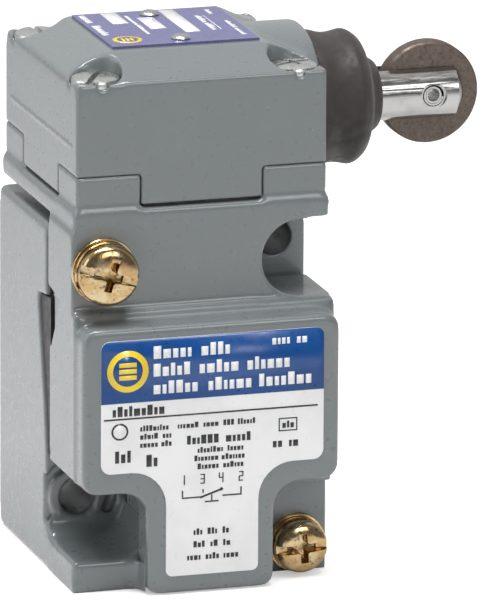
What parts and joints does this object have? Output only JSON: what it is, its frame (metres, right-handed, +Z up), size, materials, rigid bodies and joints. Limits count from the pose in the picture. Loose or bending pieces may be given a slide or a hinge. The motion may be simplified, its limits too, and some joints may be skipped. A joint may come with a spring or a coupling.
{
  "type": "limit switch",
  "caption": "Plug-in limit switch in a grey die-cast housing with a side push roller plunger, rubber boot, label plate and captive screws",
  "frame": {"origin": "centre of the conduit entry's mouth on the bottom face", "axes": "+Z up along the housing, +X towards the roller, -Y the labelled front"},
  "size_m": [0.0716, 0.0467, 0.0845],
  "materials": {
    "casting": "semi-gloss",
    "rubber": "matt",
    "black_plastic": "matt",
    "white_plastic": "matt",
    "steel": "satin",
    "brass": "satin",
    "green": "satin",
    "label": "satin",
    "zinc": "satin",
    "plate": "satin",
    "bronze": "satin",
    "sintered": "matt"
  },
  "bodies": {
    "base": {"receptacle": "casting", "receptacle_gasket": "rubber", "terminal_block": "black_plastic", "terminal_block_screws": "steel", "contact_sockets": "brass", "terminal_plates": "brass", "terminal_screws": "steel", "ground_screw": "green", "switch_body": "casting", "front_label": "label", "captive_screws": "zinc", "lock_washers": "zinc", "flat_washers": "zinc", "contact_block": "black_plastic", "contact_block_cover": "black_plastic", "block_screws": "steel", "blade_contacts": "brass", "return_spring": "steel", "actuator_bushing": "white_plastic", "head_housing": "casting", "head_gasket": "rubber", "head_screws": "zinc", "nameplate": "plate", "nameplate_pins": "steel", "plunger_bushing": "bronze", "plunger_boot": "rubber", "plunger_spring": "steel", "pin_guide": "steel"},
    "plunger": {"plunger": "steel", "retaining_ring": "steel", "roller_pin": "steel"},
    "roller": {"roller": "sintered"},
    "stem": {"push_pin_lifter": "steel", "contact_carrier": "white_plastic", "bridge_contacts": "brass", "contact_springs": "steel"}
  },
  "joints": [
    {"name": "plunger_slide", "type": "slide", "parent": "base", "child": "plunger", "axis": [-1, 0, 0], "range_m": [0, 0.0048], "stiffness_N_per_m": 1500, "springref_m": -0.006, "deforming": ["plunger_boot", "plunger_spring"]},
    {"name": "roller_spin", "type": "hinge", "parent": "plunger", "child": "roller", "pos_m": [0.0425, -0.0068, 0.0708], "axis": [0, 1, 0], "continuous": true},
    {"name": "stem_slide", "type": "slide", "parent": "base", "child": "stem", "axis": [0, 0, -1], "range_m": [0, 0.0024], "stiffness_N_per_m": 300, "springref_m": -0.003, "deforming": ["return_spring"]}
  ],
  "couplings": [
    {"joint": "stem_slide", "follows": "plunger_slide", "ratio": 0.5}
  ]
}
